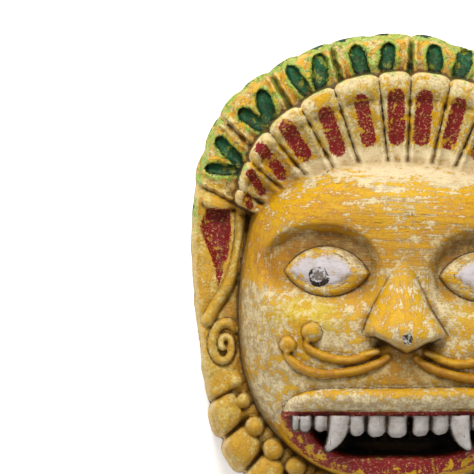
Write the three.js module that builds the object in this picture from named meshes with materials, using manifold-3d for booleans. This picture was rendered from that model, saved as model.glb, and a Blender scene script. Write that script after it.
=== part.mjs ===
// A carved and painted wooden mask, lying face up on its back rim.
// Millimetres. +X is the viewer's right, +Y is towards the crown and +Z points out of the face.
// The origin is on the plane of the back rim, at the middle of the mask's width and height.
// The mask is carved from one block, so every form below is joined into one solid.

import * as THREE from "three";
import { mergeVertices } from "three/addons/utils/BufferGeometryUtils.js";
import Module from "manifold-3d";

const wasm = await Module();
wasm.setup();

// Driving sizes
const maskWidth = 240; // across the ears
const maskHeight = 294; // crown to beard
const noseReach = 108; // back rim to the tip of the nose
const borderDepth = 36; // thickness of the border that carries ears, crown and beard
const rimWidth = 34; // width of the back rim at the sides of the hollow
const crownRimWidth = 46; // width of the back rim over the hollow
const faceWall = 17; // wood left in front of the hollow
const slotWidth = 84; // width of the opening behind the teeth
const slotHeight = 16; // height of that opening

// Carving is given as shares of these three.
const w = maskWidth / 2;
const h = maskHeight / 2;
const d = noseReach;
const degree = Math.PI / 180;

// Outline and contours, as the radius at an angle from the crown, positive towards +X
const outlineSquareness = 2.42;
const outlineWidth = 0.99 * w;
const shoulder = 0.046; // how far the upper half is wider than the lower one
const bossReach = 0.02 * w; // how far the beard stands out of the oval
const face = {
  wide: 0.763 * w,
  up: 0.578 * h,
  down: 0.75 * h,
  squareness: 2.42,
  edge: 0.27 * d,
  top: 0.8 * d,
  roundness: 3.2,
};

// Rows of carving: the turn of each place away from the middle, and how much it grows outwards
const petals = { count: 7, first: 11.4, growth: -0.32, reach: 1.037 * w, fall: 0.154 * w };
const leaves = { count: 4, first: 17.4, growth: -0.36 };
const beard = { count: 6.5, first: 8.17, growth: 0.13 };

// Mouth, which sits a little askew
const mouth = {
  tilt: Math.tan(2 * degree),
  gumLine: -0.466 * h,
  halfWidth: 0.55 * w,
  lipLine: -0.4 * h,
  depth: 0.197 * h,
  front: 0.74 * d,
};
const incisors = 5;
const molars = 3;
const toothPitch = 0.0958 * w;

const leafColumns = [0, 0.45, 0.85, 1];

const clamp01 = (t) => Math.min(1, Math.max(0, t));
const smooth = (t) => clamp01(t) ** 2 * (3 - 2 * clamp01(t));
const mix = (a, b, t) => a + (b - a) * t;
const ease = (t, from, to) => smooth((t - from) / (to - from));
const bump = (x, y, wide, tall) => Math.exp(-((x / wide) ** 2) - (y / tall) ** 2);

// Half the width of the oval that the outline follows at this height
function ovalWidth(y) {
  return outlineWidth * (1 + shoulder * Math.sin((Math.PI * y) / (1.3 * h)));
}

// Half its height: the bosses of the beard stand out of it below
function ovalHeight(y) {
  return y > 0 ? h : h - bossReach;
}

function outlineHalfWidth(y) {
  const left = 1 - Math.abs(y / ovalHeight(y)) ** outlineSquareness;
  return ovalWidth(y) * left ** (1 / outlineSquareness);
}

function outlineRadius(angle) {
  let r = h;
  for (let i = 0; i < 8; i++) {
    const across = Math.abs(Math.sin(angle)) / ovalWidth(r * Math.cos(angle));
    const along = Math.abs(Math.cos(angle)) / ovalHeight(Math.cos(angle));
    r = (across ** outlineSquareness + along ** outlineSquareness) ** (-1 / outlineSquareness);
  }
  return r;
}

function faceRadius(angle) {
  const tall = Math.cos(angle) > 0 ? face.up : face.down;
  const across = Math.abs(Math.sin(angle)) / face.wide;
  const along = Math.abs(Math.cos(angle)) / tall;
  return (across ** face.squareness + along ** face.squareness) ** (-1 / face.squareness);
}

// How far out a place on the face is: 0 at the middle, 1 at its edge
function faceShare(x, y) {
  return Math.hypot(x, y) / faceRadius(Math.atan2(x, y));
}

// Eyes, in hollows cut into the face
const socket = { x: 0.395 * w, y: 0.1 * h, wide: 0.31 * w, tall: 0.17 * h, thick: 0.2 * d };
const lid = { x: 0.368 * w, y: 0.075 * h, wide: 0.205 * w, tall: 0.115 * h };
const eye = { x: 0.378 * w, y: 0.078 * h, wide: 0.172 * w, tall: 0.088 * h };

// The front of the face before its nose, lips and eyes are carved
function faceHeight(x, y) {
  const out = clamp01(faceShare(x, y));
  const dome = face.edge + (face.top - face.edge) * (1 - out ** face.roundness) ** 0.52;
  const side = Math.abs(x);
  const brow = 0.02 * d * bump(side - 0.38 * w, y - 0.29 * h, 0.3 * w, 0.07 * h);
  const cheek = 0.035 * d * bump(side - 0.5 * w, y + 0.14 * h, 0.26 * w, 0.16 * h);
  const jaw = 0.11 * d * bump(x, y + 0.66 * h, 0.48 * w, 0.11 * h);
  const muzzle = 0.05 * d * bump(x, y + 0.38 * h, 0.36 * w, 0.2 * h);
  return dome + brow + cheek + jaw + muzzle;
}

// Moves every point of a geometry, and gives back a manifold-3d solid
function shaped(geometry, move) {
  const point = geometry.getAttribute("position");
  for (let i = 0; i < point.count; i++) {
    point.setXYZ(i, ...move(point.getX(i), point.getY(i), point.getZ(i)));
  }
  return solid(geometry);
}

function solid(geometry) {
  geometry.deleteAttribute("normal");
  geometry.deleteAttribute("uv");
  const merged = mergeVertices(geometry, 1e-3);
  return new wasm.Manifold(
    new wasm.Mesh({
      numProp: 3,
      vertProperties: new Float32Array(merged.getAttribute("position").array),
      triVerts: new Uint32Array(merged.index.array),
    }),
  );
}

// A shape on the right and its mirror image on the left
function onBothSides(make) {
  return [make(1), make(-1)];
}

// A turned profile of [radius share, level] pairs, whose ring at each level goes where place says
function turned(profile, steps, place) {
  const points = profile.map(([r, level]) => new THREE.Vector2(r, level));
  return shaped(new THREE.LatheGeometry(points, steps), (x, level, z) =>
    place(Math.hypot(x, z), level, Math.atan2(x, -z)),
  );
}

// A ball pressed into an oval block: squareness 1 is round, lower is blockier.
function pebble([x, y, z], [wide, tall, thick], squareness, turn = 0, steps = 10) {
  const ball = new THREE.SphereGeometry(1, steps, steps / 2);
  const square = (t) => Math.sign(t) * Math.abs(t) ** squareness;
  return shaped(ball, (a, b, c) => {
    const across = wide * square(a);
    const along = -tall * square(c);
    return [
      x + across * Math.cos(turn) - along * Math.sin(turn),
      y + across * Math.sin(turn) + along * Math.cos(turn),
      z + thick * square(b),
    ];
  });
}

// A round bar bent along a curve
function bar(curve, radius, steps, sides = 8) {
  const section = new THREE.Shape();
  for (let i = 0; i < sides; i++) {
    const turn = (2 * Math.PI * i) / sides;
    const [a, b] = [radius * Math.cos(turn), radius * Math.sin(turn)];
    if (i) section.lineTo(a, b);
    else section.moveTo(a, b);
  }
  return solid(
    new THREE.ExtrudeGeometry(section, { steps, extrudePath: curve, bevelEnabled: false }),
  );
}

// A curve through points that a function of 0 to 1 gives
function curveOf(at, count) {
  const points = [];
  for (let i = 0; i <= count; i++) points.push(new THREE.Vector3(...at(i / count)));
  return new THREE.CatmullRomCurve3(points, false, "centripetal");
}

// Border plate behind the face, with its front edge rounded over
function border() {
  const profile = [
    [0, 0],
    [1, 0],
    [1, 0.8],
    [0.96, 1],
    [0, 1],
  ];
  return turned(profile, 48, (share, level, angle) => {
    const inset = mix(0.015, 0.032, ease(Math.abs(angle), 2, 2.2)) * w;
    const r = share * (outlineRadius(angle) - inset);
    return [r * Math.sin(angle), r * Math.cos(angle), level * borderDepth];
  });
}

function faceDome() {
  const rings = 9;
  const profile = [
    [0, 0],
    [1, 0],
  ];
  for (let i = 0; i < rings; i++) profile.push([Math.cos((Math.PI / 2) * (i / rings)), 1]);
  profile.push([0, 1]);
  return turned(profile, 40, (share, level, angle) => {
    const r = share * faceRadius(angle);
    const [x, y] = [r * Math.sin(angle), r * Math.cos(angle)];
    return [x, y, level ? faceHeight(x, y) : borderDepth / 2];
  });
}

function rowAngle(k, row) {
  return (row.first * k + row.growth * k * Math.abs(k)) * degree;
}

// A row of carved places, as one curved strip with its back sunk in the border.
// Its columns fall where the carving of a place turns: across is -1 to 1 in each place.
function carvedRow(row, facing, columns, stops, back, radiusAt, heightAt) {
  const places = 2 * row.count;
  const strip = new THREE.BoxGeometry(1, 1, 1, places * 2 * (columns.length - 1), stops.length - 1, 1);
  return shaped(strip, (a, b, c) => {
    const along = (a + 0.5) * places;
    const place = Math.min(places - 1, Math.floor(along + 1e-6));
    const column = Math.round((2 * (along - place) - 1) * (columns.length - 1));
    const across = Math.sign(column) * columns[Math.abs(column)];
    const angle = rowAngle(place + (across + 1) / 2 - row.count, row);
    const stop = stops[Math.round((b + 0.5) * (stops.length - 1))];
    const r = radiusAt(angle, stop.share, across);
    const z = c > 0 ? heightAt(angle, stop, Math.abs(across)) : back;
    return [facing * r * Math.sin(angle), facing * r * Math.cos(angle), z];
  });
}

function petalReach(angle) {
  return petals.reach - petals.fall * Math.abs(angle / (64 * degree)) ** 2.6;
}

// Petals round the forehead: hollow faces under a rounded rim, with narrow grooves between
function innerCrown() {
  const stops = [
    { share: 0, z: 0.54, hollow: 0 },
    { share: 0.22, z: 0.61, hollow: 0.7 },
    { share: 0.64, z: 0.67, hollow: 1 },
    { share: 0.76, z: 0.715, hollow: 0 },
    { share: 0.9, z: 0.72, hollow: 0 },
    { share: 1, z: 0.64, hollow: 0 },
  ];
  const radiusAt = (angle, share, across) => {
    const outer = petalReach(angle) - 0.02 * w * across ** 4;
    return mix(faceRadius(angle) - 0.06 * w, outer, share);
  };
  const heightAt = (angle, stop, side) => {
    const low = 0.13 * (angle / (64 * degree)) ** 2;
    const groove = 0.05 * ease(side, 0.75, 1);
    return (stop.z - low - groove - 0.028 * stop.hollow * (1 - side ** 2)) * d;
  };
  return carvedRow(petals, 1, [0, 0.8, 1], stops, borderDepth / 2, radiusAt, heightAt);
}

// Leaves behind them: each has two gouges that meet towards the forehead
function outerCrown() {
  const stops = [
    { share: 0, z: 0.47, leaf: 0 },
    { share: 0.36, z: 0.45, leaf: 1 },
    { share: 0.66, z: 0.425, leaf: 0.7 },
    { share: 0.9, z: 0.375, leaf: 0 },
    { share: 1, z: 0.3, leaf: 0 },
  ];
  const radiusAt = (angle, share, across) => {
    const edge = outlineRadius(angle) + 0.012 * w * (0.3 - across ** 4);
    return mix(petalReach(angle) - 0.06 * w, edge, share);
  };
  const heightAt = (angle, stop, side) => {
    const gouge = 0.035 * stop.leaf * (side === leafColumns[1] ? 1 : 0);
    return (stop.z - gouge - 0.045 * ease(side, 0.8, 1)) * d;
  };
  return carvedRow(leaves, 1, leafColumns, stops, 0, radiusAt, heightAt);
}

// Beard: a fan of wedges round the jaw, each with a boss at its outer end and a knob at its inner one
function beardRow() {
  const stops = [
    { share: 0, z: 0.37 },
    { share: 0.36, z: 0.37 },
    { share: 0.62, z: 0.42 },
    { share: 1, z: 0.3 },
  ];
  const radiusAt = (angle, share, across) => {
    const edge = outlineRadius(Math.PI - angle) + bossReach * (1 - 2 * across ** 2);
    return mix(faceRadius(Math.PI - angle) - 0.05 * w, edge, share);
  };
  const heightAt = (angle, stop, side) => (stop.z - 0.07 * ease(side, 0.5, 1)) * d;
  const wedges = carvedRow(beard, -1, [0, 0.7, 1], stops, 0, radiusAt, heightAt);
  const knobs = [];
  const last = beard.count - 0.5;
  for (let i = -last; i <= last; i++) {
    const angle = rowAngle(i, beard) + 3.2 * degree * Math.sin((Math.PI * i) / last);
    const r = faceRadius(Math.PI - angle) + 0.03 * w;
    const at = [-r * Math.sin(angle), -r * Math.cos(angle), 0.39 * d];
    knobs.push(pebble(at, [0.055 * w, 0.055 * w, 0.09 * d], 0.9, 0, 8));
  }
  return [wedges, ...knobs];
}

function sockets(side) {
  const z = faceHeight(socket.x, socket.y) + 0.085 * d;
  return pebble([side * socket.x, socket.y, z], [socket.wide, socket.tall, socket.thick], 1, 0, 14);
}

function eyes(side) {
  const almond = (share) => 1 - 0.42 * share ** 2;
  const floor = faceHeight(socket.x, socket.y) + 0.085 * d - socket.thick;
  const make = (at, lift, thick, steps) => {
    const ball = new THREE.SphereGeometry(1, steps, steps / 2);
    return shaped(ball, (a, b, c) => [
      side * at.x + at.wide * a,
      at.y - at.tall * c * almond(a),
      floor + lift + thick * b,
    ]);
  };
  return [make(lid, 0.015 * d, 0.075 * d, 12), make(eye, 0, 0.125 * d, 12)];
}

// Nose: a broad wedge from the bridge to its tip, with a V-shaped underside between two low wings
const noseTop = 0.11 * h;
const noseTip = -0.235 * h; // the point of the V
const wingFoot = -0.173 * h;
const bridgeWidth = 0.067 * w; // half the width at the top
const wingSpan = 0.208 * w; // half the width across the wings
const tipShare = 0.8; // how far down the ridge it is highest

function nose() {
  const wedge = new THREE.BoxGeometry(1, 1, 1, 8, 5, 1);
  return shaped(wedge, (a, b, c) => {
    const down = 0.5 - b;
    const out = Math.abs(2 * a);
    const x = 2 * a * mix(bridgeWidth, wingSpan, down);
    const y = mix(noseTop, mix(noseTip, wingFoot, out), down);
    const rise = clamp01(down / tipShare) ** 1.1;
    const ridge = mix(face.top, d, rise) - 0.06 * d * ease(down, tipShare, 1);
    const wing = 0.035 * d * bump(out - 0.75, down - 0.85, 0.2, 0.2);
    const side = face.top - 0.12 * d;
    return [x, y, c > 0 ? mix(side, ridge, (1 - out ** 1.9) ** 0.8) + wing : side - 0.08 * d];
  });
}

function nostrils(side) {
  return pebble(
    [side * 0.1 * w, -0.22 * h, 0.82 * d],
    [0.045 * w, 0.022 * h, 0.06 * d],
    1,
    -side * 0.3,
    8,
  );
}

// Moustache: two strands a side, each half an oval that ends in a ball
function moustache(side) {
  const strand = (x, y, wide, tall, from, to, radius) => {
    const at = (t) => {
      const turn = mix(from, to, t) * degree;
      const [px, py] = [x + wide * Math.cos(turn), y + tall * Math.sin(turn)];
      return [side * px, py, faceHeight(px, py) + 0.35 * radius];
    };
    return bar(curveOf(at, 9), radius, 8, 5);
  };
  const ball = (x, y, radius) =>
    pebble([side * x, y, faceHeight(x, y) + 0.4 * radius], [radius, radius, radius], 1, 0, 8);
  return [
    strand(0.275 * w, -0.184 * h, 0.204 * w, 0.078 * h, -165, 22, 0.023 * w),
    strand(0.312 * w, -0.211 * h, 0.246 * w, 0.112 * h, -172, 4, 0.023 * w),
    ball(0.425 * w, -0.152 * h, 0.041 * w),
    ball(0.535 * w, -0.204 * h, 0.037 * w),
  ];
}

const askew = (x, y) => y + mouth.tilt * x;

// Lips: the upper one is a thick straight roll, the lower one hangs in a half oval
function lips() {
  const upper = (t) => {
    const side = 2 * t - 1;
    const x = 0.515 * w * Math.sin((side * Math.PI) / 2) * 1.02;
    const y = mouth.lipLine - 0.085 * h * Math.abs(side) ** 6;
    return [x, askew(x, y), faceHeight(x, y) + 0.004 * d];
  };
  const lower = (t) => {
    const turn = Math.PI * t;
    const x = -mouth.halfWidth * Math.cos(turn);
    const y = -0.505 * h - 0.18 * h * Math.sin(turn);
    return [x, askew(x, y), faceHeight(x, y) + 0.006 * d];
  };
  return [
    bar(curveOf(upper, 14), 0.053 * w, 12, 6),
    bar(curveOf(lower, 14), 0.034 * w, 14, 5),
  ];
}

// Mouth opening: a half moon at the front that narrows to a slot through the back of the face
function mouthOpening() {
  const steps = 20;
  const profile = [
    [0, 0],
    [1, 0],
    [1, 0.45],
    [1, 1],
    [0, 1],
  ];
  const moon = (angle) => [
    mouth.halfWidth * 0.93 * Math.sin(angle),
    mouth.gumLine + (Math.cos(angle) > 0 ? 0.02 * h : 0.185 * h) * Math.cos(angle) - 0.01 * h,
  ];
  const slot = (angle) => {
    const round = (t) => Math.sign(t) * Math.abs(t) ** 0.5;
    return [
      (slotWidth / 2) * round(Math.sin(angle)),
      mouth.gumLine - 0.085 * h + (slotHeight / 2) * round(Math.cos(angle)),
    ];
  };
  return turned(profile, steps, (share, level, angle) => {
    const open = level === 1 ? 1 : 0;
    const [x, y] = slot(angle).map((v, i) => mix(v, moon(angle)[i], open));
    const middle = mouth.gumLine - 0.085 * h;
    const [px, py] = [x * share, middle + (y - middle) * share];
    return [px, askew(px, py), level * 0.95 * d];
  });
}

// Teeth: incisors between two fangs, and smaller molars outside them
function teeth() {
  const made = [];
  const frontAt = (x) => mouth.front - 0.2 * d * (x / mouth.halfWidth) ** 2;
  const tooth = (x, wide, drop) => {
    const y = mouth.gumLine - drop / 2 + 0.03 * h;
    const size = [wide / 2, drop / 2 + 0.03 * h, 0.055 * d];
    made.push(pebble([x, askew(x, y), frontAt(x)], size, 0.62, 0, 8));
  };
  const incisorWidth = 0.9 * toothPitch;
  for (let i = 0; i < incisors; i++) {
    tooth((i - (incisors - 1) / 2) * toothPitch, incisorWidth, 0.078 * h);
  }
  const fangX = ((incisors + 1) / 2) * toothPitch;
  for (const side of [1, -1]) {
    made.push(fang(side, side * fangX, frontAt(fangX)));
    for (let i = 0; i < molars; i++) {
      const x = fangX + 0.092 * w + i * 0.07 * w;
      tooth(side * x, 0.066 * w, mix(0.066, 0.045, i / molars) * h);
    }
  }
  return made;
}

function fang(side, x, z) {
  const length = 0.175 * h;
  const top = mouth.gumLine + 0.035 * h;
  const cone = new THREE.CylinderGeometry(1, 1, 1, 7, 3);
  return shaped(cone, (a, b, c) => {
    const share = 0.5 - b;
    const thick = 0.045 * w * Math.sqrt(clamp01(1.04 - share ** 1.8));
    const px = x + side * 0.045 * w * share ** 2 + a * thick;
    return [px, askew(x, top - length * share), z + c * thick + 0.03 * d];
  });
}

// Ear: a long leaf that narrows downwards, with a rim round a hollow field
function ear(side) {
  const leaf = new THREE.BoxGeometry(1, 1, 1, 5, 7, 1);
  return shaped(leaf, (a, b, c) => {
    const share = 0.5 + side * a;
    const down = 0.5 - b;
    const y = mix(0.375, -0.2, down) * h;
    const inner = mix(0.775, 0.87, smooth((down - 0.35) / 0.6)) * w;
    const outer = outlineHalfWidth(y);
    const rim = 2 * share - 1;
    const scoop = 0.075 * d * (1 - rim ** 2) * ease(down, 0.04, 0.16) * (1 - ease(down, 0.7, 1));
    const top = mix(0.425, 0.375, down) * d - 0.035 * d * Math.abs(rim) ** 6;
    return [side * mix(inner, outer, share), y, c > 0 ? top - scoop : 0];
  });
}

function earLedge(side) {
  return pebble([side * 0.872 * w, 0.338 * h, 0.41 * d], [0.08 * w, 0.035 * h, 0.085 * d], 0.85, 0, 8);
}

// Scroll below the ear, taller than it is wide
function scroll(side) {
  const turns = 1.5;
  const begin = 135 * degree;
  const at = (t) => {
    const turn = begin - 2 * Math.PI * turns * t;
    const x = 0.829 * w + mix(0.072, 0.01, t) * w * Math.cos(turn);
    const y = -0.223 * h + mix(0.091, 0.014, t) * h * Math.sin(turn);
    return [side * x, y, mix(0.375, 0.41, t) * d];
  };
  return bar(curveOf(at, 18), 0.025 * w, 15, 5);
}

function earBlocks(side) {
  return [
    pebble([side * 0.845 * w, -0.366 * h, 0.33 * d], [0.095 * w, 0.055 * h, 0.09 * d], 0.6, side * 0.2),
    pebble([side * 0.765 * w, -0.35 * h, 0.34 * d], [0.035 * w, 0.04 * h, 0.09 * d], 0.6, side * 0.2, 8),
  ];
}

// Hollow behind the face
function hollow() {
  const rings = 6;
  const profile = [];
  for (let i = 0; i <= rings; i++) profile.push([Math.sin((Math.PI / 2) * (i / rings)), 1]);
  profile[0] = [0, 1];
  profile.push([1, 0], [0, 0]);
  profile.reverse();
  const wide = w - rimWidth;
  const up = h - crownRimWidth;
  const down = h - crownRimWidth;
  const deep = face.top - faceWall;
  return turned(profile, 26, (share, level, angle) => {
    const tall = Math.cos(angle) > 0 ? up : down;
    const r = Math.hypot(Math.sin(angle) / wide, Math.cos(angle) / tall) ** -1 * share;
    const z = level ? deep * clamp01(1 - share ** 2.6) ** 0.6 : -1;
    return [r * Math.sin(angle), r * Math.cos(angle), z];
  });
}

function carveMask() {
  const { Manifold } = wasm;
  const block = Manifold.union([
    border(),
    faceDome(),
    innerCrown(),
    outerCrown(),
    ...onBothSides(ear),
    ...beardRow(),
    ...onBothSides(earBlocks).flat(),
  ]);
  const cuts = [mouthOpening(), ...onBothSides(sockets)];
  const carved = block.subtract(Manifold.union(cuts));
  const added = [
    nose().subtract(Manifold.union(onBothSides(nostrils))),
    ...onBothSides(eyes).flat(),
    ...onBothSides(moustache).flat(),
    ...onBothSides(earLedge),
    ...onBothSides(scroll),
    ...lips(),
    ...teeth(),
  ];
  return Manifold.union([carved, ...added]).subtract(hollow());
}

function geometryOf(manifold) {
  const mesh = manifold.getMesh();
  const geometry = new THREE.BufferGeometry();
  const step = mesh.numProp;
  const points = new Float32Array(mesh.numVert * 3);
  for (let i = 0; i < mesh.numVert; i++) {
    points.set(mesh.vertProperties.subarray(i * step, i * step + 3), i * 3);
  }
  geometry.setAttribute("position", new THREE.BufferAttribute(points, 3));
  geometry.setIndex(new THREE.BufferAttribute(mesh.triVerts, 1));
  geometry.computeVertexNormals();
  return geometry;
}

const paintedWood = new THREE.MeshStandardMaterial({
  color: 0xc9a436,
  roughness: 0.62,
  metalness: 0,
});
const mask = new THREE.Mesh(geometryOf(carveMask()), paintedWood);
mask.name = "mask";

const part = new THREE.Group();
part.add(mask);
export default part;
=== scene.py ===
# %% [markdown]
# # A carved and painted wooden mask
#
# The mask is carved from one block of wood: a wide face with bulging eyes, fangs and a moustache,
# inside a crown of two rows of leaves, two long ears and a beard of wedges. It lies on its back,
# face up, and the camera looks straight down on it.
#
# This lesson models it as a carver would, from one block. One closed shell is shaped by code, made
# even by a remesh, roughened like hand-cut wood, and painted with layers that wear through.

# %% Frame and tools
import math
import bpy
import numpy as np
from mathutils import Matrix, Vector


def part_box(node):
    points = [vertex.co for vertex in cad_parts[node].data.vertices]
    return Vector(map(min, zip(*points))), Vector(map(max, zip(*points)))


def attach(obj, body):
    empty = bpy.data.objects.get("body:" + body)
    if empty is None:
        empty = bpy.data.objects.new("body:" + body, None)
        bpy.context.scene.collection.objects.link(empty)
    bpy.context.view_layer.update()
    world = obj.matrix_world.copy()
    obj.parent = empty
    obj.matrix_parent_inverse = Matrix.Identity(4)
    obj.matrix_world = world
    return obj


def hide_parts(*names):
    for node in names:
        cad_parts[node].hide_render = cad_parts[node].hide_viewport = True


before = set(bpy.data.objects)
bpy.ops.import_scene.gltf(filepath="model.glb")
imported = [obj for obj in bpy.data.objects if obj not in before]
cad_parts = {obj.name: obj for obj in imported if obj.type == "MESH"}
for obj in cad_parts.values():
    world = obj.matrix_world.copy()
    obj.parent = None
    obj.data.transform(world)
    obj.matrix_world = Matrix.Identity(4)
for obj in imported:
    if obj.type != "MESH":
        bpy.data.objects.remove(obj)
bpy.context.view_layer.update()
low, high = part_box("mask")
nominal_width = 240.6
mm = (high[0] - low[0]) / nominal_width
print("one nominal millimetre is", round(mm, 6), "m")

# %% [markdown]
# ## Shapes in numbers
#
# Carving is easiest to think of as heights: how far the wood stands at each place of the mask.
# A few helpers blend such heights. `ease` goes smoothly from 0 to 1, `higher` keeps the upper of two
# surfaces with a soft crease, and `lower` the lower one.

# %% Helpers for heights


def ease(t, start, end):
    t = np.clip((t - start) / (end - start), 0, 1)
    return t * t * (3 - 2 * t)


def higher(a, b, soft=1.0):
    t = np.clip(0.5 + 0.5 * (a - b) / soft, 0, 1)
    return b + (a - b) * t + soft * t * (1 - t)


def lower(a, b, soft=1.0):
    return -higher(-a, -b, soft)


def bump(x, y, wide, tall):
    return np.exp(-((x / wide) ** 2) - (y / tall) ** 2)


def along_line(x, y, points):
    """Distance to a line through the points, and the share of its length where that is."""
    points = np.array(points, float)
    steps = np.hypot(*np.diff(points, axis=0).T)
    run = np.concatenate([[0], np.cumsum(steps)]) / steps.sum()
    best = np.full(x.shape, 1e9)
    share = np.zeros(x.shape)
    for i in range(len(points) - 1):
        (ax, ay), (bx, by) = points[i], points[i + 1]
        length = (bx - ax) ** 2 + (by - ay) ** 2
        t = np.clip(((x - ax) * (bx - ax) + (y - ay) * (by - ay)) / length, 0, 1)
        far = np.hypot(x - ax - t * (bx - ax), y - ay - t * (by - ay))
        nearer = far < best
        best = np.where(nearer, far, best)
        share = np.where(nearer, run[i] + t * (run[i + 1] - run[i]), share)
    return best, share


def curve_through(points, steps=40):
    """A smooth line through a few points."""
    points = np.array(points, float)
    t = np.linspace(0, len(points) - 1, steps)
    i = np.clip(t.astype(int), 0, len(points) - 2)
    f = (t - i)[:, None]
    before = points[np.maximum(i - 1, 0)]
    a, b = points[i], points[i + 1]
    after = points[np.minimum(i + 2, len(points) - 1)]
    return 0.5 * (
        2 * a + (b - before) * f + (2 * before - 5 * a + 4 * b - after) * f**2
        + (3 * a - before - 3 * b + after) * f**3
    )


# %% [markdown]
# ## Contours
#
# Three closed lines divide the front: the edge of the face, the reach of the petals round the
# forehead, and the outline of the whole mask. Each is a radius at an angle from the crown, given
# every 15 degrees down one side and mirrored on the other.

# %% Contours of the mask
every = np.radians(np.arange(0, 181, 15))
face_radii = [82.5, 84.2, 88.5, 94.3, 97.3, 93.8, 92.8, 95.4, 101.2, 106.6, 108.9, 110, 111]
petal_radii = [124.6, 124.4, 122, 119, 110, 98, 94]
outline_radii = [145.6, 146.4, 146.0, 145.2, 135.3, 124.5, 118.3, 118, 125, 134.6, 140.8, 144.6, 146]
petals_end = math.radians(63.5)
leaves_end = math.radians(64.5)
beard_start = math.radians(58.6)


def radius_at(angle, radii):
    turn = np.abs(angle)
    known = every[: len(radii)]
    i = np.clip((turn / every[1]).astype(int), 0, len(radii) - 2)
    r = np.array(radii, float)
    mirrored = np.concatenate([[r[1]], r, [r[-2]]])
    slope = (mirrored[2:] - mirrored[:-2]) / 2
    f = np.clip((turn - known[i]) / every[1], 0, 1)
    a, b, m, n = r[i], r[i + 1], slope[i], slope[i + 1]
    return (
        (2 * f**3 - 3 * f**2 + 1) * a + (f**3 - 2 * f**2 + f) * m
        + (3 * f**2 - 2 * f**3) * b + (f**3 - f**2) * n
    )


def face_edge(angle):
    return radius_at(angle, face_radii)


def petal_edge(angle):
    return radius_at(np.minimum(np.abs(angle), every[6]), petal_radii)


def outline(angle):
    dip = 5.0 * np.exp(-(((np.degrees(angle) - 13) / 6) ** 2))
    return radius_at(angle, outline_radii) - dip


print("outline", np.round(outline(np.radians([0, 45, 90, 135, 180])), 1))

# %% [markdown]
# Hand-cut wood is never quite even. A few crossed waves with seeded directions make a gentle unevenness
# that is the same on every run.

# %% Unevenness


def wobble(x, y, size, seed):
    """Gentle waves of about this size in millimetres, mostly between -1 and 1."""
    rng = np.random.default_rng(seed)
    total = np.zeros(np.shape(x))
    for _ in range(9):
        turn = rng.uniform(0, 2 * math.pi)
        wave = 2 * math.pi / (size * rng.uniform(0.7, 1.5))
        total += np.sin((x * math.cos(turn) + y * math.sin(turn)) * wave + rng.uniform(0, 2 * math.pi))
    return total / 5


# %% [markdown]
# ## Rows of places
#
# Petals, leaves and beard wedges each repeat round the face. A row holds the angles of the grooves
# between its places. `places` tells where a point lies: how far across its place it is, from -1 to
# 1, and half the place's angle.

# %% Rows of carving


class Row:
    def __init__(self, edges):
        self.edges = np.radians(edges)

    def places(self, angle):
        k = np.clip(np.searchsorted(self.edges, angle) - 1, 0, len(self.edges) - 2)
        middle = (self.edges[k] + self.edges[k + 1]) / 2
        half = (self.edges[k + 1] - self.edges[k]) / 2
        return np.clip((angle - middle) / half, -1, 1), half


def both_sides(angles):
    return [-a for a in reversed(angles)] + list(angles)


petals = Row([-64, -59.5, -51.3, -41.7, -31, -20.8, -8.6, 0, 10.6, 20.6, 30.8, 41.4, 51.2, 59.5, 64])
leaves = Row([-64.2, -48, -33.1, -18.2, 0, 18.2, 33.1, 48, 64.2])
wedges = Row(both_sides([4.4, 13.1, 21.9, 30.6, 39.4, 48.9, 58.6]))

# %% [markdown]
# ## The face
#
# The face is a dome with steep sides. Hollows for the eyes are pressed into it under a brow, the
# cheeks and jaw swell, and the nose, lips, moustache and eyelids are added as smaller swellings.

# %% Face dome and sockets
face_foot = 30
face_top = 87
socket_depth = 8.6


def face_surface(x, y):
    angle = np.arctan2(x, y)
    out = np.clip(np.hypot(x, y) / face_edge(angle), 0, 1)
    side = np.abs(x)
    z = face_foot + (face_top - face_foot) * np.power(1 - out**3.3, 0.5)
    z = z + 3.0 * bump(side - 46, y - 45, 36, 9)
    z = z + 2.5 * bump(x, y - 62, 40, 20)
    z = z + 4.5 * bump(side - 58, y + 14, 27, 20)
    z = z + 9 * bump(x, y + 97, 58, 16)
    z = z + 5 * bump(x, y + 54, 46, 26)
    across = np.abs(side - 47) / 35
    tall = np.where(y > 6, y - 6, 6 - y) / np.where(y > 6, 31.5, 24)
    reach = (across**2.4 + tall**2.4) ** (1 / 2.4)
    hollow = 1 - ease(reach, 0.62 + 0.2 * ease(y, -8, 18), 1.03)
    shallow = 1 - 0.7 * ease(6 - y, 0, 18)
    z = z - socket_depth * hollow * shallow
    return z + 0.35 * wobble(x, y, 26, 3) + 0.16 * wobble(x, y, 9, 4)


# %% [markdown]
# An eye is an almond: two arches that meet in points. Its distance is negative inside, zero on the
# edge and positive outside, so one number gives the bulge of the eyeball, its groove and its paint.

# %% Eyes
lid = (19.8, 67.0, 10.5, 14.5, 13.2)
white = (29.0, 64.0, 11.2, 9.6, 8.6)
pupil_middle = (48.2, 8.3)
pupil_radius = 4.8


def almond(side, y, inner, outer, middle, up, down):
    t = np.clip((side - inner) / (outer - inner), 0, 1)
    arch = np.clip(1 - np.abs(2 * t - 1) ** 2.1, 0, 1) ** 0.78
    span = np.where(y > middle, up, down) * arch
    beside = np.maximum(inner - side, side - outer)
    far = 0.85 * (np.abs(y - middle) - span)
    return np.where(beside > 0, np.hypot(beside, y - middle), far)


def eye_surface(x, y, z):
    side = np.abs(x)
    lid_far = almond(side, y, *lid)
    white_far = almond(side, y, *white)
    depth = np.clip(-lid_far / 11.5, 0, 1)
    z = z + 8.0 * np.sqrt(1 - (1 - depth) ** 2)
    z = z - 1.0 * np.exp(-((lid_far / 0.9) ** 2))
    z = z + 0.7 * ease(-white_far, 0, 1.6) - 0.7 * np.exp(-((white_far / 0.8) ** 2))
    return z


# %% [markdown]
# The nose is a broad wedge. It grows out of the bridge, is highest just above its tip, and ends
# below in a shallow V with a wing at each side and a dark nostril between.

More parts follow.
